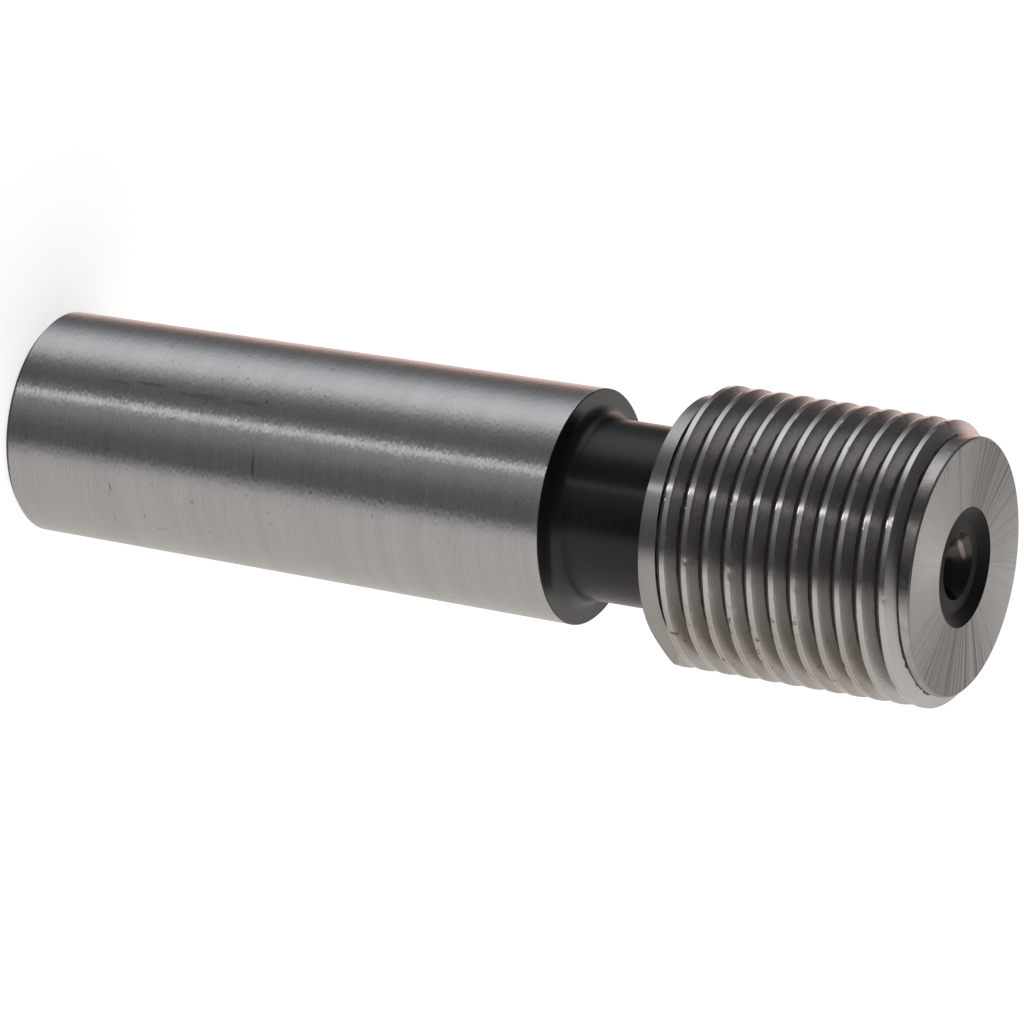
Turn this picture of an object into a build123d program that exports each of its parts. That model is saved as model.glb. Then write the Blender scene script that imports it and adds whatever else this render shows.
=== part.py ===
# Thread plug gauge with a tapered shank, in millimetres.
# The gauge is one piece of ground tool steel and stands on the end of its shank, axis along +Z.
# The origin is the centre of the shank's end face.
import os
from math import atan2, degrees, pi, radians, tan

from build123d import *

# Shank: slim end below, thick end at the shoulder
SHANK_LENGTH = 52.0
SHANK_TOP_D = 20.2
SHANK_TAPER = 1 / 50  # loss of diameter per length
SHANK_END_CHAMFER = 0.5

# Neck between the shoulder and the thread
NECK_LENGTH = 9.75
NECK_D = 15.5
NECK_FILLET = 1.2  # at the shoulder

# Thread: a right-handed ridge round a core, its first and last stretch ground off on flats
THREAD_LENGTH = 24.75
THREAD_MAJOR_D = 24.0
THREAD_PITCH = 2.0
THREAD_CREST_FLAT = THREAD_PITCH / 4
THREAD_ROOT_FLAT = THREAD_PITCH / 8
THREAD_FLANK_ANGLE = 30.0  # between a flank and the plane across the axis
THREAD_EDGE_CHAMFER = 0.15  # round the end face
RIDGE_START_MARGIN = 0.05  # from the core's lower end to the foot of the ridge where it starts
RIDGE_END_MARGIN = 0.25  # from the foot of the ridge where it ends to the end face
RIDGE_SINK = 0.05  # how deep the ridge's foot reaches into the core
RUN_OUT_SINK = 0.03  # how far the run-out flats lie below the core's surface

# Centre holes
CENTRE_D = 5.7
CENTRE_ANGLE = 30.0  # between the centre's cone and the axis
PILOT_D = 3.15
PILOT_DEPTH = 6.0
RECESS_D = 10.0
RECESS_FLOOR_D = 7.8
RECESS_DEPTH = 0.65

# Sizes that follow from the ones above
SHANK_END_D = SHANK_TOP_D - SHANK_LENGTH * SHANK_TAPER
THREAD_START = SHANK_LENGTH + NECK_LENGTH
TOTAL_LENGTH = THREAD_START + THREAD_LENGTH
THREAD_CREST_R = THREAD_MAJOR_D / 2
RIDGE_FOOT = (THREAD_PITCH - THREAD_ROOT_FLAT) / 2
RIDGE_HEIGHT = (RIDGE_FOOT - THREAD_CREST_FLAT / 2) / tan(radians(THREAD_FLANK_ANGLE))
THREAD_ROOT_R = THREAD_CREST_R - RIDGE_HEIGHT
RIDGE_START = RIDGE_FOOT + RIDGE_START_MARGIN
RIDGE_END = THREAD_LENGTH - RIDGE_FOOT - RIDGE_END_MARGIN


def turned(points):
    """Solid of revolution about the Z axis from (radius, height) points."""
    outline = Polyline(*[(r, 0, z) for r, z in points], close=True)
    return revolve(make_face(outline), Axis.Z)


def shank():
    """Tapered shank with a small chamfer round its foot."""
    foot_r = SHANK_END_D / 2
    return turned([
        (0, 0),
        (foot_r - SHANK_END_CHAMFER, 0),
        (foot_r + SHANK_END_CHAMFER * SHANK_TAPER / 2, SHANK_END_CHAMFER),
        (SHANK_TOP_D / 2, SHANK_LENGTH),
        (0, SHANK_LENGTH),
    ])


def neck():
    """Turned-down neck with a fillet at the shoulder and a plain corner under the thread."""
    neck_r = NECK_D / 2
    wide_r = neck_r + NECK_FILLET
    low, high = SHANK_LENGTH, THREAD_START
    with BuildSketch(Plane.XZ) as outline:
        with BuildLine():
            Line((0, low), (wide_r, low))
            RadiusArc((wide_r, low), (neck_r, low + NECK_FILLET), NECK_FILLET)
            Line((neck_r, low + NECK_FILLET), (neck_r, high))
            Line((neck_r, high), (0, high))
            Line((0, high), (0, low))
        make_face()
    return revolve(outline.sketch, Axis.Z)


def thread_core():
    """Core of the thread up to its root diameter."""
    edge_r = THREAD_ROOT_R - THREAD_EDGE_CHAMFER
    return turned([
        (0, 0),
        (THREAD_ROOT_R, 0),
        (THREAD_ROOT_R, THREAD_LENGTH - THREAD_EDGE_CHAMFER),
        (edge_r, THREAD_LENGTH),
        (0, THREAD_LENGTH),
    ])


def thread_ridge():
    """Ridge of the thread, swept along the helix, starting at +X."""
    path = Helix(THREAD_PITCH, RIDGE_END - RIDGE_START, THREAD_ROOT_R, center=(0, 0, RIDGE_START))
    low_r = THREAD_ROOT_R - RIDGE_SINK
    half_foot = RIDGE_FOOT + RIDGE_SINK * tan(radians(THREAD_FLANK_ANGLE))
    half_crest = THREAD_CREST_FLAT / 2
    profile = Polyline(
        (low_r, 0, RIDGE_START - half_foot),
        (THREAD_CREST_R, 0, RIDGE_START - half_crest),
        (THREAD_CREST_R, 0, RIDGE_START + half_crest),
        (low_r, 0, RIDGE_START + half_foot),
        close=True,
    )
    return sweep(make_face(profile), path=path, is_frenet=True)


def run_out(height):
    """Block as wide as a pitch that takes an end of the ridge down to a flat beside the core."""
    lead = degrees(atan2(THREAD_PITCH, 2 * pi * THREAD_CREST_R))
    turn = 360 * (height - RIDGE_START) / THREAD_PITCH
    place = Pos(0, 0, height) * Rot(0, 0, turn) * Pos(THREAD_ROOT_R - RUN_OUT_SINK, 0, 0)
    size = (THREAD_CREST_R, 2 * THREAD_CREST_R, THREAD_PITCH)
    return place * Rot(lead, 0, 0) * Box(*size, align=(Align.MIN, Align.CENTER, Align.CENTER))


def thread():
    """Gauging end: the core and its ridge, whose ends run out on flats."""
    ridge = thread_ridge() - run_out(RIDGE_START) - run_out(RIDGE_END)
    return Pos(0, 0, THREAD_START) * (thread_core() + ridge)


def centre_hole():
    """Centre with a cone and a pilot, opening upwards at the XY plane."""
    cone_r, pilot_r = CENTRE_D / 2, PILOT_D / 2
    cone_depth = (cone_r - pilot_r) / tan(radians(CENTRE_ANGLE))
    tip_depth = PILOT_DEPTH + pilot_r * tan(radians(CENTRE_ANGLE))
    return turned([
        (0, 0),
        (cone_r, 0),
        (pilot_r, -cone_depth),
        (pilot_r, -PILOT_DEPTH),
        (0, -tip_depth),
    ])


def front_recess():
    """Shallow flared recess that protects the centre at the thread's end."""
    return turned([
        (0, 0),
        (RECESS_D / 2, 0),
        (RECESS_FLOOR_D / 2, -RECESS_DEPTH),
        (0, -RECESS_DEPTH),
    ])


def gauge():
    """The whole gauge as one solid."""
    body = shank() + neck() + thread()
    body -= Pos(0, 0, TOTAL_LENGTH) * front_recess()
    body -= Pos(0, 0, TOTAL_LENGTH - RECESS_DEPTH) * centre_hole()
    body -= Rot(180, 0, 0) * centre_hole()
    body.label = "gauge"
    return body


os.makedirs("parts", exist_ok=True)
export_step(gauge(), "parts/gauge.step")
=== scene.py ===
from math import cos, pi, radians, sin, tan

import bmesh
import bpy
import numpy as np
from mathutils import Matrix, Vector


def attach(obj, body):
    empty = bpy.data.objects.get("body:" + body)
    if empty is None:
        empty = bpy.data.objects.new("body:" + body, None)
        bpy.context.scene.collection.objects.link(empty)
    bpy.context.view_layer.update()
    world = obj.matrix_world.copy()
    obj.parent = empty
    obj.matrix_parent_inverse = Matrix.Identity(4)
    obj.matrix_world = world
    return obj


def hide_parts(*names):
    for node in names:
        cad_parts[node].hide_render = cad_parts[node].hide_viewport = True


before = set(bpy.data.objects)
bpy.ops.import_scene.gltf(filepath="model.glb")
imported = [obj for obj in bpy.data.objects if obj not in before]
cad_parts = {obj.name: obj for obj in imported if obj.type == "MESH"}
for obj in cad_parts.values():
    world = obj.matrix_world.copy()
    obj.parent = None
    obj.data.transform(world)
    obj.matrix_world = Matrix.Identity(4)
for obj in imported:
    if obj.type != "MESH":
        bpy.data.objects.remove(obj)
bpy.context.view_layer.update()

MM = 0.001

# Sizes of the gauge in millimetres, as in the part's source
SHANK_LENGTH = 52.0
SHANK_TOP_R = 10.1
SHANK_TAPER = 1 / 50  # loss of diameter per length
SHANK_END_CHAMFER = 0.5
NECK_R = 7.75
NECK_FILLET = 1.2
THREAD_START = 61.75
THREAD_LENGTH = 24.75
CREST_R = 12.0
PITCH = 2.0
CREST_FLAT = 0.5
ROOT_FLAT = 0.25
FLANK_ANGLE = radians(30)
RIDGE_START_MARGIN = 0.05
RIDGE_END_MARGIN = 0.25
RUN_OUT_SINK = 0.03  # how far the flats at the ridge's ends lie below the core's surface
FACE_CHAMFER = 0.15
CENTRE_R = 2.85
CENTRE_ANGLE = radians(30)
PILOT_R = 1.575
PILOT_DEPTH = 6.0
RECESS_R = 5.0
RECESS_FLOOR_R = 3.9
RECESS_DEPTH = 0.65

# Sizes that follow from the ones above
SHANK_END_R = SHANK_TOP_R - SHANK_LENGTH * SHANK_TAPER / 2
RIDGE_FOOT = (PITCH - ROOT_FLAT) / 2
ROOT_R = CREST_R - (RIDGE_FOOT - CREST_FLAT / 2) / tan(FLANK_ANGLE)
RIDGE_START = RIDGE_FOOT + RIDGE_START_MARGIN
RIDGE_END = THREAD_LENGTH - RIDGE_FOOT - RIDGE_END_MARGIN
RIDGE_TURNS = (RIDGE_END - RIDGE_START) / PITCH
CONE_DEPTH = (CENTRE_R - PILOT_R) / tan(CENTRE_ANGLE)
PILOT_TIP = PILOT_R * tan(CENTRE_ANGLE)
TOP = THREAD_START + THREAD_LENGTH

# Edges and wear in millimetres
SOFT_EDGE = 0.08  # width of the broken edges on shoulder, faces and recess
SHOULDER_LOSS = 0.01  # how much slimmer the shank is where its broken edge starts
EDGE_BREAK = 0.025  # width of the broken edges on the crests
WORN_WIDTH = 0.09  # worn strip along the rear edge of each crest
WORN_DEPTH = 0.024
ROOT_SCRATCH = 0.05  # how much deeper the groove's root is than the plain core beside it
WAVES = 0.003  # unevenness of the crests' edges
NICKS = 320  # number of dents along the crests' edges
END_STRAY = 1.6  # share of the ragged line by which the flanks' feet stray near the thread's ends
MID_STRAY = 0.8  # and elsewhere
CUT_SLOPE = 0.6  # how fast the grooves deepen away from the rims
RIM_LOW = SOFT_EDGE / 2  # heights between which the threaded surface is cut level
RIM_HIGH = THREAD_LENGTH - FACE_CHAMFER

# Radii that the ridge's top has to reach past to have flanks, edges that take dents, and its crest
FLANKS_FROM = ROOT_R + 0.1
DENTS_FROM = ROOT_R + 0.3
CREST_FROM = CREST_R - 0.1

# Fineness of the mesh
LATHE_STEPS = 360
TURN_STEPS = 360
SPARE_TURNS = 1.4  # by which the threaded strip runs on beyond the ridge at either end
RUN_OUT_REACH = 0.2  # turns from the ridge's end within which the flat may cut it
FLANK_SHARES = (0.35, 0.7, 1)  # heights of the rows of points on a flank
SAME_PLACE = 0.0005  # millimetres within which points are joined
FLAT = 1e-6  # height in millimetres below which a face of the threaded strip was cut away
SHARP_ANGLE = radians(14)

# Rows of points across the ridge, counted from its lower root
RISE_ROWS = range(1, 5)
FALL_ROWS = range(9, 14)

# Rows beside the crest's edges: lower or upper edge, and how far a dent moves the row inwards and along
EDGE_ROWS = {
    4: (0, 0.35, 0.6),
    5: (0, 0.8, 0.25),
    8: (1, 0.8, -0.25),
    9: (1, 0.35, -0.6),
}

SURFACES = [
    "ground_shank", "foot_edge", "blackened", "crest", "worn", "flank", "root", "land", "front_land",
    "rim", "face", "recess", "centre", "pilot",
]


# Geometry

class Skin:
    """Points in millimetres, faces and the number of each face's surface."""

    def __init__(self):
        self.points = []
        self.faces = []
        self.slots = []

    def add_point(self, r, angle, z):
        self.points.append((r * cos(angle), r * sin(angle), z))

    def add_face(self, corners, surface):
        self.faces.append(corners)
        self.slots.append(SURFACES.index(surface))


def arc(centre, radius, start, end, steps=10):
    """Points on an arc in the (radius, height) plane, angles in degrees, without the first."""
    angles = [radians(start + (end - start) * i / steps) for i in range(1, steps + 1)]
    return [(centre[0] + radius * cos(a), centre[1] + radius * sin(a)) for a in angles]


def lower_outline():
    """Outline from the rear pilot's tip to the rim of the thread, with the surface each stretch has."""
    wide_r = NECK_R + NECK_FILLET
    return [
        ("centre", [(0, PILOT_DEPTH + PILOT_TIP), (PILOT_R, PILOT_DEPTH)]),
        ("centre", [(PILOT_R, CONE_DEPTH), (CENTRE_R, 0)]),
        ("face", [(SHANK_END_R - SHANK_END_CHAMFER, 0)]),
        ("foot_edge", [(SHANK_END_R, SHANK_END_CHAMFER)]),
        ("ground_shank", [(SHANK_TOP_R - SHOULDER_LOSS, SHANK_LENGTH - SOFT_EDGE)]),
        ("blackened", [(SHANK_TOP_R - SOFT_EDGE, SHANK_LENGTH), (wide_r, SHANK_LENGTH)]),
        ("blackened", arc((wide_r, SHANK_LENGTH + NECK_FILLET), NECK_FILLET, 270, 180)),
        ("blackened", [(NECK_R, THREAD_START), (ROOT_R - SOFT_EDGE / 2, THREAD_START)]),
        ("land", [(ROOT_R, THREAD_START + RIM_LOW)]),
    ]


def upper_outline():
    """Outline from the rim of the end face to the front pilot's tip."""
    floor = TOP - RECESS_DEPTH
    return [
        ("rim", [(ROOT_R, TOP - FACE_CHAMFER), (ROOT_R - FACE_CHAMFER, TOP)]),
        ("face", [(RECESS_R + SOFT_EDGE, TOP)]),
        ("recess", arc((RECESS_R + SOFT_EDGE, TOP - SOFT_EDGE), SOFT_EDGE, 90, 150, 3)),
        ("recess", [(RECESS_FLOOR_R, floor), (CENTRE_R, floor)]),
        ("centre", [(PILOT_R, floor - CONE_DEPTH)]),
        ("pilot", [(PILOT_R, floor - PILOT_DEPTH), (0, floor - PILOT_DEPTH - PILOT_TIP)]),
    ]


def add_lathe(skin, outline):
    """Adds a surface of revolution round Z whose outline is given in stretches of one surface each."""
    rows = [(r, z, surface) for surface, points in outline for r, z in points]
    first = len(skin.points)
    for r, z, _ in rows:
        for j in range(LATHE_STEPS):
            skin.add_point(r, 2 * pi * j / LATHE_STEPS, z)
    for i in range(1, len(rows)):
        high = first + i * LATHE_STEPS
        low = high - LATHE_STEPS
        for j in range(LATHE_STEPS):
            k = (j + 1) % LATHE_STEPS
            skin.add_face((low + j, low + k, high + k, high + j), rows[i][2])


def ridge_top(u):
    """Radius of the ridge's top at u turns from its start, ground off on a flat at both ends."""
    if u < 0 or u > RIDGE_TURNS:
        return ROOT_R
    near = min(u, RIDGE_TURNS - u)
    if near >= RUN_OUT_REACH:
        return CREST_R
    return max(ROOT_R, min(CREST_R, (ROOT_R - RUN_OUT_SINK) / cos(2 * pi * near)))


def half_width(r):
    """Half the width of the ridge at a radius."""
    return CREST_FLAT / 2 + (CREST_R - r) * tan(FLANK_ANGLE)


def ridge_profile(top_r, stray):
    """Rows across one pitch of the thread: offset along the axis, radius, surface of the strip before it."""
    crested = top_r > CREST_FROM
    top = "crest" if crested else "land"
    side = "flank" if top_r > FLANKS_FROM else "land"
    worn = WORN_DEPTH if crested else 0
    deep_r = ROOT_R - ROOT_SCRATCH
    edge = min(EDGE_BREAK, (top_r - deep_r) / 3)
    climb = top_r - edge - deep_r
    foot_r = deep_r + min(stray, 0.3 * climb)
    low_r, mid_r, high_r = [deep_r + climb * share for share in FLANK_SHARES]
    half_crest = half_width(top_r) - edge * 0.6
    rise = [(-half_width(r), r, side) for r in (low_r, mid_r, high_r - worn)]
    fall = [(half_width(r), r, side) for r in (mid_r, low_r, foot_r)]
    return [
        (-PITCH / 2, deep_r, "root"),
        (-half_width(foot_r), foot_r, "root"),
        *rise,
        (-half_crest - WORN_WIDTH / 2, top_r - worn, top),
        (-half_crest + WORN_WIDTH / 2, top_r, "worn" if crested else "land"),
        (half_crest / 3, top_r, top),
        (half_crest, top_r, top),
        (half_width(high_r), high_r, top),
        *fall,
        (PITCH / 2, deep_r, "root"),
    ]


def crest_dents(us):
    """How deep the crests' lower and upper edges are dented at each step along the thread."""
    rng = np.random.default_rng(7)
    nicks = zip(
        rng.uniform(0.1, RIDGE_TURNS - 0.1, NICKS),  # place in turns
        rng.integers(0, 2, NICKS),  # lower or upper edge
        rng.uniform(0.01, 0.08, NICKS),  # depth in millimetres
        rng.uniform(0.002, 0.007, NICKS),  # half length in turns
    )
    dents = np.zeros((len(us), 2))
    for place, edge, depth, reach in nicks:
        first = int((place - reach - us[0]) * TURN_STEPS)
        last = int((place + reach - us[0]) * TURN_STEPS) + 1
        for i in range(first, last + 1):
            off = (us[i] - place) / reach
            if abs(off) < 1:
                dents[i, edge] = max(dents[i, edge], depth * (1 - off * off))
    waves = np.random.default_rng(3).normal(0, WAVES, (len(us), 2))
    return dents + np.abs(waves)


def ragged_line(count):
    """How far a ragged line strays along the thread, in millimetres, always to one side."""
    rng = np.random.default_rng(5)
    slow = np.convolve(rng.normal(0, 1, count), np.hanning(15) / 3, "same")
    fast = np.convolve(rng.normal(0, 1, count), np.hanning(5) / 2, "same")
    return np.clip(0.03 + 0.03 * slow + 0.03 * fast, 0, 0.16)


def worn_profile(u, dent, ragged):
    """Profile of the thread at u turns from the ridge's start, with its dents and ragged lines."""
    top_r = ridge_top(u)
    near_end = u < 1 or u > RIDGE_TURNS - 1
    profile = ridge_profile(top_r, ragged * (END_STRAY if near_end else MID_STRAY))
    for row, (offset, r, surface) in enumerate(profile):
        if row in EDGE_ROWS and top_r > DENTS_FROM:
            edge, inwards, along = EDGE_ROWS[row]
            r -= dent[edge] * inwards
            offset += dent[edge] * along
        if row in FALL_ROWS and u < 0:
            offset -= 2 * ragged
        if row in RISE_ROWS and u > RIDGE_TURNS:
            offset += ragged
        profile[row] = (offset, r, surface)
    return profile


def cut_level(r, z):
    """Keeps a point of the threaded strip between the two rims, and on the core where it is cut."""
    if z < RIM_LOW or z > RIM_HIGH:
        return ROOT_R, min(max(z, RIM_LOW), RIM_HIGH)
    if r < ROOT_R:
        r = min(ROOT_R, max(r, ROOT_R - CUT_SLOPE * min(z - RIM_LOW, RIM_HIGH - z)))
    return r, z


def add_thread(skin):
    """Adds the threaded surface between the two rims as a helical strip, cut level at both ends."""
    start, stop = -SPARE_TURNS, RIDGE_TURNS + SPARE_TURNS
    count = int((stop - start) * TURN_STEPS)
    us = [start + i / TURN_STEPS for i in range(count + 1)]
    first = len(skin.points)
    surfaces = []
    for u, dent, ragged in zip(us, crest_dents(us), ragged_line(count + 1)):
        profile = worn_profile(u, dent, ragged)
        surfaces.append([surface for _, _, surface in profile])
        for offset, r, _ in profile:
            r, z = cut_level(r, RIDGE_START + PITCH * u + offset)
            skin.add_point(r, 2 * pi * u, THREAD_START + z)
    width = len(surfaces[0])
    for i in range(count):
        for row in range(width - 1):
            corner = first + i * width + row
            corners = (corner, corner + width, corner + width + 1, corner + 1)
            heights = [skin.points[c][2] for c in corners]
            if max(heights) - min(heights) < FLAT:
                continue
            surface = surfaces[i][row + 1]
            if surface == "land" and us[i] > RIDGE_TURNS / 2:
                surface = "front_land"
            skin.add_face(corners, surface)


def build_body():
    """The gauge's visible body as one mesh object."""
    skin = Skin()
    add_lathe(skin, lower_outline())
    add_thread(skin)
    add_lathe(skin, upper_outline())
    mesh = bpy.data.meshes.new("gauge_body")
    mesh.from_pydata([(x * MM, y * MM, z * MM) for x, y, z in skin.points], [], skin.faces)
    mesh.polygons.foreach_set("material_index", skin.slots)
    bm = bmesh.new()
    bm.from_mesh(mesh)
    bmesh.ops.remove_doubles(bm, verts=bm.verts, dist=SAME_PLACE * MM)
    bmesh.ops.dissolve_degenerate(bm, edges=bm.edges, dist=SAME_PLACE * MM)
    bmesh.ops.recalc_face_normals(bm, faces=bm.faces)
    bm.to_mesh(mesh)
    bm.free()
    mesh.polygons.foreach_set("use_smooth", [True] * len(mesh.polygons))
    mesh.set_sharp_from_angle(angle=SHARP_ANGLE)
    body = bpy.data.objects.new("gauge_body", mesh)
    bpy.context.collection.objects.link(body)
    return body


# Materials

SHADE_FILM_SIDE = radians(5)  # side of the gauge that gets a brownish painted shade
FRONT_LAND_DARK_SIDE = radians(-63)  # side of the front land that is darkest
SCRATCH_SHADE_SIDE = radians(40)  # middle of the sectors of the end face where painted shade darkens the scratches most
FACE_SHADE_SIDE = radians(58)  # middle of the sectors of the end face that get a painted darker tone
SCRATCH_BEND = 8.0  # turn of the scratches, in radians a metre
SHANK_GRAIN = 0.000022  # depth of the grinding marks on the shank, in metres

# Brownish tint of the painted shade on the gauge's low side
SHADE_FILM_TINT = (0.27, 0.235, 0.20)
DIRT_SPOT = (0.10, 0.07, 0.045)
HANDLING_DARK = (0.07, 0.07, 0.07)
PIT_DARK = (0.05, 0.05, 0.05)
# Dark of the end face's scratches, deepened by painted shade in two opposite sectors
SCRATCH_AND_SHADE_DARK = (0.07, 0.066, 0.062)
# Painted darker tone of the end face in two opposite sectors
FACE_SHADE_TONE = (0.16, 0.157, 0.153)
# Darker tone of the front land towards one side
FRONT_LAND_DARK = (0.13, 0.13, 0.13)
OIL_BLACK = (0.006, 0.005, 0.005)
# Brown of the patch on the front cone
PATCH_BROWN = (0.11, 0.04, 0.03)
# Pale colour of the painted highlight streak on the front cone
GLINT_PALE = (0.80, 0.66, 0.62)

# Brown patch and painted highlight streak on the front cone: centre, direction, half length and half width
# in metres
BROWN_PATCH = ((-0.0021, 0.0007, 0.0851), (0.241, 0.967, 0.084), 0.0021, 0.0013)
GLINT_STREAK = ((-0.00222, 0.0007, 0.08516), (0.241, 0.967, 0.084), 0.0013, 0.0003)

# Dark marks on the shank: azimuth in degrees, height, half length and half width in millimetres,
# whether they run along the axis, and strength
HANDLING_MARKS = [
    (-81.5, 10.1, 1.6, 0.16, True, 0.35),
    (-83.0, 13.2, 1.8, 0.2, True, 0.4),
    (-80.6, 18.1, 2.5, 0.35, True, 0.25),
    (-81.3, 22.6, 1.8, 0.3, True, 0.25),
    (-50.0, 24.6, 1.4, 0.1, False, 0.6),
    (-26.0, 10.5, 0.5, 0.09, False, 0.6),
    (-6.0, 10.3, 0.6, 0.08, False, 0.4),
    (-3.5, 14.8, 0.7, 0.09, True, 0.5),
    (-34.0, 24.0, 0.16, 0.13, True, 0.7),
]

# Two layers of scratches on the end faces: fineness, level below which the noise is a line, strength
SCRATCH_LAYERS = [(34, 0.46, 0.85), (18, 0.42, 0.8)]


def rgba(value):
    """Colour with alpha from a grey level or three channels; a node's output stays as it is."""
    if isinstance(value, bpy.types.NodeSocket):
        return value
    if isinstance(value, (int, float)):
        return (value, value, value, 1)
    return (*value, 1)


def toward(angle):
    """Unit vector across the axis at an angle round it."""
    return (cos(angle), sin(angle), 0)


class Nodes:
    """Short way to build a node tree."""

    def __init__(self, tree):
        self.tree = tree
        self.tree.nodes.clear()

    def add(self, kind, inputs=None, **settings):
        node = self.tree.nodes.new(kind)
        for key, value in settings.items():
            setattr(node, key, value)
        for key, value in (inputs or {}).items():
            if isinstance(value, bpy.types.NodeSocket):
                self.tree.links.new(value, node.inputs[key])
            else:
                node.inputs[key].default_value = value
        return node

    def math(self, operation, a, b=0.0):
        return self.add("ShaderNodeMath", {0: a, 1: b}, operation=operation).outputs[0]

    def plus(self, a, b):
        return self.math("ADD", a, b)

    def minus(self, a, b):
        return self.math("SUBTRACT", a, b)

    def times(self, a, b):
        return self.math("MULTIPLY", a, b)

    def over(self, a, b):
        return self.math("DIVIDE", a, b)

    def blend(self, a, b, share):
        """Sum of two values, the first with the given share and the second with the rest."""
        return self.plus(self.times(a, share), self.times(b, 1 - share))

    def vector(self, operation, a, b):
        return self.add("ShaderNodeVectorMath", {0: a, 1: b}, operation=operation).outputs[0]

    def dot(self, a, b):
        return self.add("ShaderNodeVectorMath", {0: a, 1: b}, operation="DOT_PRODUCT").outputs["Value"]

    def parts(self, vector):
        return self.add("ShaderNodeSeparateXYZ", {0: vector}).outputs

    def noise(self, vector, scale=1.0, detail=2.0, rough=0.5):
        inputs = {"Vector": vector, "Scale": scale, "Detail": detail, "Roughness": rough}
        return self.add("ShaderNodeTexNoise", inputs).outputs["Fac"]

    def ramp(self, value, stops):
        node = self.add("ShaderNodeValToRGB", {0: value})
        elements = node.color_ramp.elements
        while len(elements) > 1:
            elements.remove(elements[-1])
        elements[0].position = stops[0][0]
        elements[0].color = rgba(stops[0][1])
        for place, level in stops[1:]:
            elements.new(place).color = rgba(level)
        return node.outputs[0]

    def mix(self, share, a, b):
        inputs = {0: share, 6: rgba(a), 7: rgba(b)}
        return self.add("ShaderNodeMix", inputs, data_type="RGBA").outputs[2]

    def smooth(self, value, low, high):
        node = self.add("ShaderNodeMapRange", {0: value, 1: low, 2: high}, interpolation_type="SMOOTHSTEP")
        return node.outputs[0]

    def streak(self, place, centre, way, half_length, half_width):
        """Soft long spot round a centre, its length along a unit vector."""
        away = self.vector("SUBTRACT", place, centre)
        along = self.dot(away, way)
        along = self.times(along, along)
        across = self.minus(self.dot(away, away), along)
        share = self.plus(self.over(along, half_length ** 2), self.over(across, half_width ** 2))
        return self.minus(1.0, self.smooth(share, 0.1, 1.0))

    def bump(self, height, distance, strength=1.0):
        inputs = {"Height": height, "Distance": distance, "Strength": strength}
        return self.add("ShaderNodeBump", inputs).outputs[0]


def new_material(name):
    """An empty material, its nodes and the place on the object."""
    material = bpy.data.materials.new(name)
    material.use_nodes = True
    n = Nodes(material.node_tree)
    return material, n, n.add("ShaderNodeTexCoord").outputs["Object"]


def finish(n, material, inputs, anisotropy, across=False):
    """Ends a material with a shader brushed round the axis, or across it from the centre outwards."""
    inputs["Anisotropic"] = anisotropy
    inputs["Anisotropic Rotation"] = 0.0 if across else 0.25
    inputs["Tangent"] = n.add("ShaderNodeTangent", direction_type="RADIAL", axis="Z").outputs[0]
    shader = n.add("ShaderNodeBsdfPrincipled", inputs)
    n.add("ShaderNodeOutputMaterial", {"Surface": shader.outputs[0]})
    return material


def low_shade_share(n, place):
    """Share of the brownish painted shade, which lies on the side that was lowest and not before the end
    face.
    """
    depth = n.dot(place, toward(SHADE_FILM_SIDE))
    rear = n.minus(1.0, n.smooth(n.parts(place)[2], (TOP - 6) * MM, (TOP - 2) * MM))
    return n.times(n.smooth(depth, 0.8 * CREST_R * MM, 0.97 * CREST_R * MM), rear)


def with_shade_film(n, place, colour, share):
    """Covers the low side with a brownish painted shade."""
    return n.mix(n.times(low_shade_share(n, place), share), colour, SHADE_FILM_TINT)


def with_spots(n, place, colour, strength):
    """Sprinkles specks of dirt, most of them on the low side."""
    spots = n.ramp(n.noise(place, 1300, detail=4, rough=0.6), [(0.63, 0.0), (0.68, strength)])
    spread = n.plus(n.times(low_shade_share(n, place), 0.9), 0.1)
    return n.mix(n.times(spots, spread), colour, DIRT_SPOT)


def with_marks(n, place, colour):
    """Darkens the shank where handling left its marks and pits."""
    x, y, z = n.parts(place)
    angle = n.math("ARCTAN2", y, x)
    wobble = n.times(n.minus(n.noise(place, 1500, detail=3), 0.5), 0.0005)
    for azimuth, height, half_length, half_width, along, strength in HANDLING_MARKS:
        half_side, half_up = (half_width, half_length) if along else (half_length, half_width)
        side = n.times(n.minus(angle, radians(azimuth)), SHANK_TOP_R * MM)
        side = n.over(n.plus(side, wobble), half_side * MM)
        up = n.over(n.plus(n.minus(z, height * MM), wobble), half_up * MM)
        far = n.plus(n.times(side, side), n.times(up, up))
        fade = n.minus(1.0, n.smooth(far, 0.2, 1.0))
        colour = n.mix(n.times(fade, strength), colour, HANDLING_DARK)
    pits = n.ramp(n.noise(place, 1900, detail=1), [(0.765, 0.0), (0.795, 0.6)])
    return n.mix(pits, colour, PIT_DARK)


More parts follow.
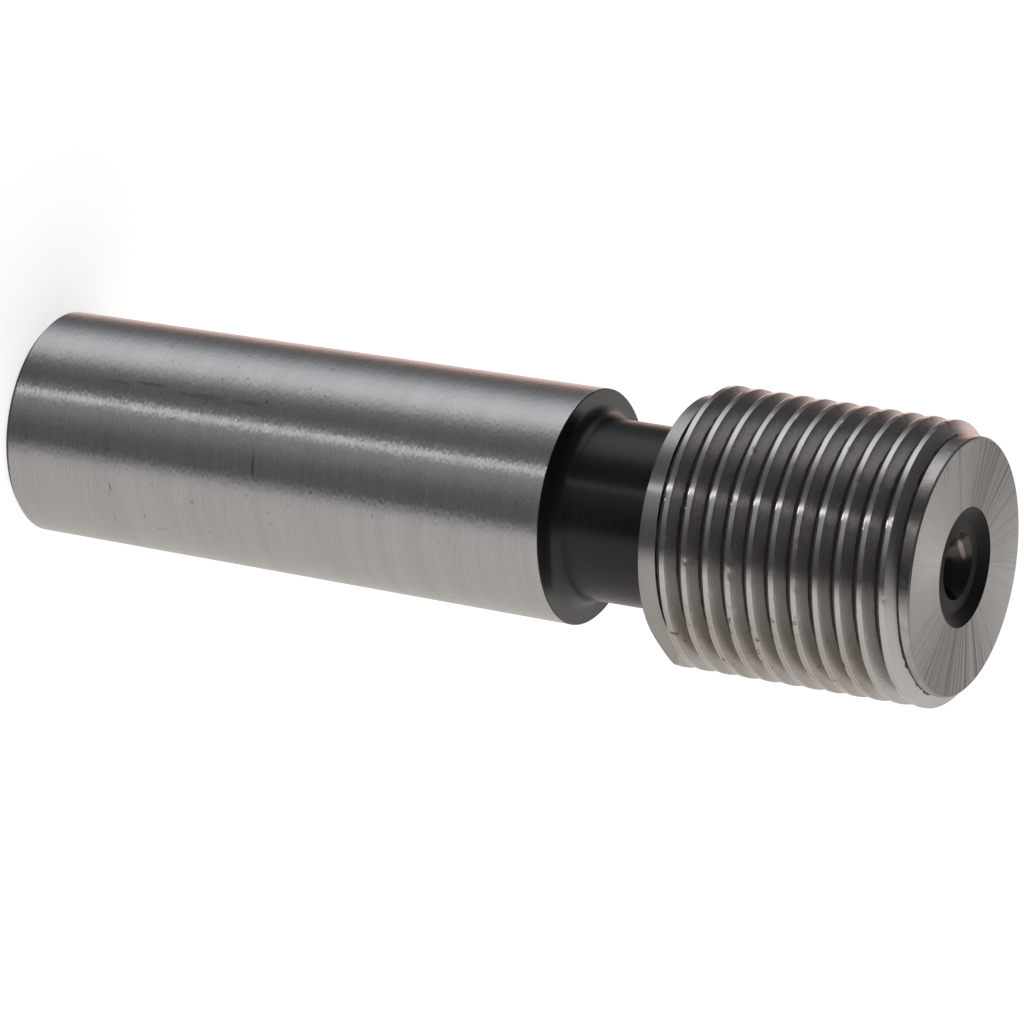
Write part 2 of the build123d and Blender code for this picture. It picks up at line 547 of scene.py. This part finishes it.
def steel(name, light, dark, roughness, streaks=5000, shade_film=0.0, stain=0.0, bare=1.0, handled=False):
    """Ground steel with fine marks round the axis, specks and a brownish painted shade on the low side."""
    material, n, place = new_material(name)
    fine = n.noise(n.vector("MULTIPLY", place, (90, 90, streaks)), detail=3)
    broad = n.noise(n.vector("MULTIPLY", place, (25, 25, streaks / 6)), detail=2)
    cloud = n.noise(place, 220, detail=3)
    colour = n.mix(n.ramp(n.blend(fine, broad, 0.55), [(0.3, 0.0), (0.7, 1.0)]), dark, light)
    if shade_film:
        # Brownish painted shade over the low side
        colour = with_shade_film(n, place, colour, n.ramp(cloud, [(0.3, 0.6 * shade_film), (0.7, shade_film)]))
    if stain:
        colour = with_spots(n, place, colour, stain)
    rough = n.plus(n.times(fine, 0.12), n.times(cloud, 0.08))
    inputs = {"Metallic": bare, "Roughness": n.plus(rough, roughness - 0.1)}
    if handled:
        colour = with_marks(n, place, colour)
        marks = n.noise(n.vector("MULTIPLY", place, (1700, 1700, 4500)), detail=1, rough=0.6)
        inputs["Normal"] = n.bump(marks, SHANK_GRAIN)
    inputs["Base Color"] = colour
    return finish(n, material, inputs, 0.88)


def blackened(name, dark, light, roughness, specular=0.38, shade_film=0.0):
    """Blackened steel with faint turning marks."""
    material, n, place = new_material(name)
    marks = n.noise(n.vector("MULTIPLY", place, (60, 60, 3200)), detail=3)
    cloud = n.noise(place, 300, detail=4)
    colour = n.mix(n.times(marks, cloud), dark, light)
    if shade_film:
        # Brownish painted shade over the low side
        colour = with_shade_film(n, place, colour, shade_film)
    inputs = {
        "Base Color": colour,
        "Metallic": 0.0,
        "Specular IOR Level": specular,
        "Roughness": n.plus(n.times(marks, 0.15), roughness),
        "Normal": n.bump(marks, 0.00002, 0.4),
    }
    return finish(n, material, inputs, 0.7)


def oily(name, stain):
    """Black, wet-looking inside of the centre holes, with a brown patch and a painted highlight streak on
    the front cone.
    """
    material, n, place = new_material(name)
    colour = rgba(OIL_BLACK)
    if stain:
        grain = n.noise(n.vector("MULTIPLY", place, (900, 900, 300)), detail=3)
        brown = n.times(n.streak(place, *BROWN_PATCH), n.ramp(grain, [(0.35, 0.3), (0.6, stain)]))
        # Painted highlight: a pale streak on the cone where its far wall would mirror the light
        pale = n.times(n.streak(place, *GLINT_STREAK), n.ramp(grain, [(0.35, 0.5), (0.6, 1.0)]))
        colour = n.mix(pale, n.mix(brown, OIL_BLACK, PATCH_BROWN), GLINT_PALE)
    inputs = {
        "Base Color": colour,
        "Metallic": 0.0,
        "Specular IOR Level": 0.6,
        "Roughness": 0.22,
        "Normal": n.bump(n.noise(place, 1200, detail=3), 0.00003),
    }
    return finish(n, material, inputs, 0.0)


def faced(name):
    """End faces ground from the centre outwards, with dark scratches; painted shade darkens the scratches
    most in two opposite sectors and the tone in two nearby ones.
    """
    material, n, place = new_material(name)
    flat = n.vector("MULTIPLY", place, (1, 1, 0))
    radius = n.add("ShaderNodeVectorMath", {0: flat}, operation="LENGTH").outputs["Value"]
    bend = {"Vector": flat, "Angle": n.times(radius, SCRATCH_BEND)}
    bent = n.add("ShaderNodeVectorRotate", bend, rotation_type="Z_AXIS").outputs[0]
    ray = n.add("ShaderNodeVectorMath", {0: bent}, operation="NORMALIZE").outputs[0]
    # Painted shade: two pairs of opposite sectors darken the scratches and the tone
    scratch_shade = n.smooth(n.math("ABSOLUTE", n.dot(ray, toward(SCRATCH_SHADE_SIDE))), 0.5, 1.0)
    face_shade = n.smooth(n.math("ABSOLUTE", n.dot(ray, toward(FACE_SHADE_SIDE))), 0.35, 1.0)
    fine = n.noise(ray, 70, detail=3)
    cloud = n.noise(place, 160, detail=3)
    tone = n.ramp(n.blend(fine, cloud, 0.6), [(0.35, 0.0), (0.65, 1.0)])
    colour = n.mix(tone, (0.29, 0.282, 0.275), (0.37, 0.362, 0.354))
    colour = n.mix(n.times(face_shade, 0.45), colour, FACE_SHADE_TONE)
    for fineness, edge, strength in SCRATCH_LAYERS:
        lines = n.ramp(n.noise(ray, fineness, detail=2, rough=0.6), [(edge - 0.05, 1.0), (edge, 0.0)])
        patches = n.noise(n.vector("MULTIPLY", place, (fineness * 5,) * 3), detail=1)
        reach = n.ramp(patches, [(0.36, 0.0), (0.52, 1.0)])
        share = n.times(n.plus(n.times(scratch_shade, 0.8), 0.2), strength)
        colour = n.mix(n.times(n.times(lines, reach), share), colour, SCRATCH_AND_SHADE_DARK)
    specks = n.ramp(n.noise(place, 2200, detail=1), [(0.76, 0.0), (0.79, 0.6)])
    inputs = {
        "Base Color": n.mix(specks, colour, DIRT_SPOT),
        "Metallic": 1.0,
        "Roughness": n.plus(n.times(fine, 0.12), 0.25),
        "Normal": n.bump(fine, 0.00001, 0.3),
    }
    return finish(n, material, inputs, 0.9, across=True)


def mottled(name):
    """Plain land before the end face: darker patches between bright ones, darkest towards one side."""
    material, n, place = new_material(name)
    patch = n.ramp(n.noise(place, 420, detail=4, rough=0.6), [(0.38, 0.0), (0.62, 1.0)])
    fleck = n.ramp(n.noise(place, 1500, detail=3), [(0.35, 0.0), (0.65, 1.0)])
    colour = n.mix(n.blend(patch, fleck, 0.6), (0.36, 0.34, 0.33), (0.56, 0.545, 0.53))
    # Darker towards one side of the land
    dark_side = n.smooth(n.dot(place, toward(FRONT_LAND_DARK_SIDE)), 0.85 * ROOT_R * MM, 0.97 * ROOT_R * MM)
    inputs = {
        "Base Color": n.mix(n.times(dark_side, 0.65), colour, FRONT_LAND_DARK),
        "Metallic": 0.96,
        "Roughness": n.plus(n.times(fleck, 0.14), 0.24),
        "Normal": n.bump(fleck, 0.000006),
    }
    return finish(n, material, inputs, 0.7)


def dress(body):
    """Gives the body its surfaces in the order of the mesh's slots."""
    # Each surface also gets its share of brownish painted shade on the low side.
    made = {
        "ground_shank": steel("ground_shank", (0.575, 0.57, 0.565), (0.475, 0.47, 0.465), 0.27,
                              streaks=4200, bare=0.79, handled=True),
        "foot_edge": steel("foot_edge", (0.50, 0.50, 0.50), (0.40, 0.40, 0.40), 0.4,
                           streaks=4200, bare=0.6),
        "blackened": blackened("blackened", (0.011, 0.011, 0.012), (0.036, 0.036, 0.04), 0.2, 0.36),
        "crest": steel("crest", (0.59, 0.58, 0.565), (0.50, 0.49, 0.475), 0.2, shade_film=0.4, stain=0.9),
        "worn": steel("worn", (0.62, 0.61, 0.60), (0.55, 0.54, 0.53), 0.12),
        "flank": steel("flank", (0.475, 0.465, 0.455), (0.42, 0.41, 0.395), 0.26,
                       shade_film=0.8, stain=0.9, bare=0.89),
        "root": blackened("root", (0.03, 0.026, 0.022), (0.09, 0.075, 0.06), 0.5, shade_film=0.35),
        "land": steel("land", (0.46, 0.45, 0.44), (0.39, 0.38, 0.37), 0.27,
                      shade_film=0.3, stain=0.5, bare=0.86),
        "front_land": mottled("front_land"),
        "rim": steel("rim", (0.40, 0.385, 0.37), (0.30, 0.29, 0.28), 0.5),
        "face": faced("face"),
        "recess": blackened("recess", (0.006, 0.006, 0.006), (0.024, 0.023, 0.022), 0.42, 0.12),
        "centre": oily("centre", 0.9),
        "pilot": oily("pilot", 0.0),
    }
    for name in SURFACES:
        body.data.materials.append(made[name])


# Floor and light

CAMERA_SIDE = radians(-56.96)  # direction round the axis from which the camera looks

# Brightness of the surroundings by the angle round the axis from the camera's side, in degrees
SURROUNDINGS = [
    (-180, (0.74, 0.70, 0.67)),
    (-170, (1.20, 0.92, 0.85)),
    (-157, (1.42, 1.00, 0.93)),
    (-150, (0.62, 0.46, 0.44)),
    (-144, (0.21, 0.18, 0.17)),
    (-134, (0.13, 0.12, 0.12)),
    (-118, (0.25, 0.26, 0.28)),
    (-100, (0.93, 0.97, 1.03)),
    (-86, (1.18, 1.18, 1.20)),
    (-76, (1.05, 1.05, 1.05)),
    (-61, (0.27, 0.27, 0.27)),
    (-44, (0.125, 0.125, 0.125)),
    (-32, (0.23, 0.23, 0.23)),
    (-28, (0.36, 0.36, 0.37)),
    (-25.5, (2.60, 2.60, 2.60)),
    (-23, (0.45, 0.45, 0.45)),
    (-12, (0.385, 0.385, 0.385)),
    (6, (0.145, 0.145, 0.145)),
    (26, (0.09, 0.09, 0.09)),
    (31, (0.34, 0.34, 0.34)),
    (41, (0.80, 0.79, 0.775)),
    (60, (0.80, 0.765, 0.745)),
    (120, (0.70, 0.66, 0.62)),
    (180, (0.74, 0.70, 0.67)),
]
RAMP_TOP = 2.6  # brightest level in the ramp, which itself only goes to 1

# What lies beyond the threaded end: the table, the room over its edge, and the room straight ahead
FAR_TABLE = (0.98, 0.955, 0.93)
FAR_ROOM = (0.085, 0.085, 0.085)
FAR_DARK = (0.042, 0.042, 0.042)
AHEAD = (0.0, 0.32)  # rise of a direction over which all this takes over
STRAIGHT_AHEAD = (0.86, 0.98)  # rise over which the room gets darker
TABLE_SLOPE = radians(120)  # from the camera's side round to the side where the table lies
TABLE_EDGE = (0.0, 0.38)  # lean of a direction to that side over which the table takes over

# What lies behind the shank's end: a dark room with a narrow lamp, which the crests' worn edges mirror
UNDER_ROOM = (0.05, 0.05, 0.05)
LOW_LAMP_LEVEL = (2.6, 2.6, 2.6)
LOW_LAMP = -30.3  # angle of the lamp from the camera's side, in degrees
LOW_LAMP_EDGE = (2.2, 3.6)  # degrees from its middle over which it fades out
BEHIND = (-0.64, -0.74)  # rise of a direction over which all this takes over

FLOOR_HALF = 1.5
FLOOR_DROP = 0.00002  # keeps the floor clear of the end face
FLOOR_LIFT = 0.75  # what the floor needs besides its light to look white, shadows apart


def level(colour):
    """A brightness as the ramp holds it."""
    return tuple(channel / RAMP_TOP for channel in colour)


def seen_white(n, rays):
    """Tells the rays that see a white background from those that light the gauge."""
    return n.math("MAXIMUM", rays["Is Camera Ray"], rays["Is Transmission Ray"])


def studio(n):
    """Light of the studio by direction, at the ramp's scale."""
    ray = n.add("ShaderNodeTexCoord").outputs["Generated"]
    x, y, z = n.parts(ray)
    share = n.over(n.minus(n.math("ARCTAN2", y, x), CAMERA_SIDE), 2 * pi)
    place = n.math("FRACT", n.plus(share, 1.5))
    around = n.ramp(place, [((angle + 180) / 360, level(colour)) for angle, colour in SURROUNDINGS])
    over_edge = n.smooth(n.dot(ray, toward(CAMERA_SIDE + TABLE_SLOPE)), *TABLE_EDGE)
    room = n.mix(n.smooth(z, *STRAIGHT_AHEAD), level(FAR_ROOM), level(FAR_DARK))
    far = n.mix(over_edge, room, level(FAR_TABLE))
    off_lamp = n.math("ABSOLUTE", n.minus(place, (LOW_LAMP + 180) / 360))
    dark = n.smooth(off_lamp, *[edge / 360 for edge in LOW_LAMP_EDGE])
    under = n.mix(dark, level(LOW_LAMP_LEVEL), level(UNDER_ROOM))
    return n.mix(n.smooth(z, *AHEAD), n.mix(n.smooth(z, *BEHIND), around, under), far)


def build_world():
    """Studio with a pale table on one side, a window, a lamp and a dark room, before a white background."""
    world = bpy.data.worlds.new("studio")
    bpy.context.scene.world = world
    world.use_nodes = True
    n = Nodes(world.node_tree)
    glow = n.add("ShaderNodeBackground", {"Color": studio(n), "Strength": RAMP_TOP})
    white = n.add("ShaderNodeBackground", {"Color": (1, 1, 1, 1), "Strength": 1.0})
    seen = seen_white(n, n.add("ShaderNodeLightPath").outputs)
    both = n.add("ShaderNodeMixShader", {0: seen, 1: glow.outputs[0], 2: white.outputs[0]})
    n.add("ShaderNodeOutputWorld", {"Surface": both.outputs[0]})


def floor_material():
    """Pale surface that looks white outside the shadow and that the gauge doesn't mirror."""
    material = bpy.data.materials.new("floor")
    material.use_nodes = True
    n = Nodes(material.node_tree)
    rays = n.add("ShaderNodeLightPath").outputs
    pale = n.add("ShaderNodeBsdfDiffuse", {"Color": (0.8, 0.8, 0.8, 1)})
    strength = n.times(seen_white(n, rays), FLOOR_LIFT)
    lift = n.add("ShaderNodeEmission", {"Color": (1, 1, 1, 1), "Strength": strength})
    lit = n.add("ShaderNodeAddShader", {0: pale.outputs[0], 1: lift.outputs[0]})
    clear = n.add("ShaderNodeBsdfTransparent")
    both = n.add("ShaderNodeMixShader", {0: rays["Is Glossy Ray"], 1: lit.outputs[0], 2: clear.outputs[0]})
    n.add("ShaderNodeOutputMaterial", {"Surface": both.outputs[0]})
    return material


def build_floor():
    """Floor that takes the gauge's shadow."""
    mesh = bpy.data.meshes.new("floor")
    corners = [(x * FLOOR_HALF, y * FLOOR_HALF, 0) for x, y in ((-1, -1), (1, -1), (1, 1), (-1, 1))]
    mesh.from_pydata(corners, [], [(0, 1, 2, 3)])
    mesh.materials.append(floor_material())
    floor = bpy.data.objects.new("floor", mesh)
    floor.location.z = -FLOOR_DROP
    bpy.context.collection.objects.link(floor)


# Camera, fitted to the outlines and ellipses of the photograph

CAMERA_PLACE = (0.35598, -0.54454, 0.36209)
CAMERA_AHEAD = (-0.489998, 0.753382, -0.438541)
CAMERA_RIGHT = (-0.371444, 0.274672, 0.886896)  # rolled so that the gauge lies down
CAMERA_LENS = 300.53
SENSOR_WIDTH = 36
CLIP_START = 0.01


def build_camera():
    """Camera on the photograph's line of sight."""
    ahead = Vector(CAMERA_AHEAD).normalized()
    right = Vector(CAMERA_RIGHT).normalized()
    data = bpy.data.cameras.new("camera")
    data.lens = CAMERA_LENS
    data.sensor_width = SENSOR_WIDTH
    data.clip_start = CLIP_START
    camera = bpy.data.objects.new("camera", data)
    bpy.context.collection.objects.link(camera)
    turn = Matrix((right, right.cross(ahead), -ahead)).transposed().to_4x4()
    camera.matrix_world = Matrix.Translation(Vector(CAMERA_PLACE)) @ turn
    bpy.context.scene.camera = camera


build_camera()
build_world()
build_floor()
body = build_body()
dress(body)
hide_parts("gauge")
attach(body, "root")
bpy.context.scene.view_settings.view_transform = "Standard"
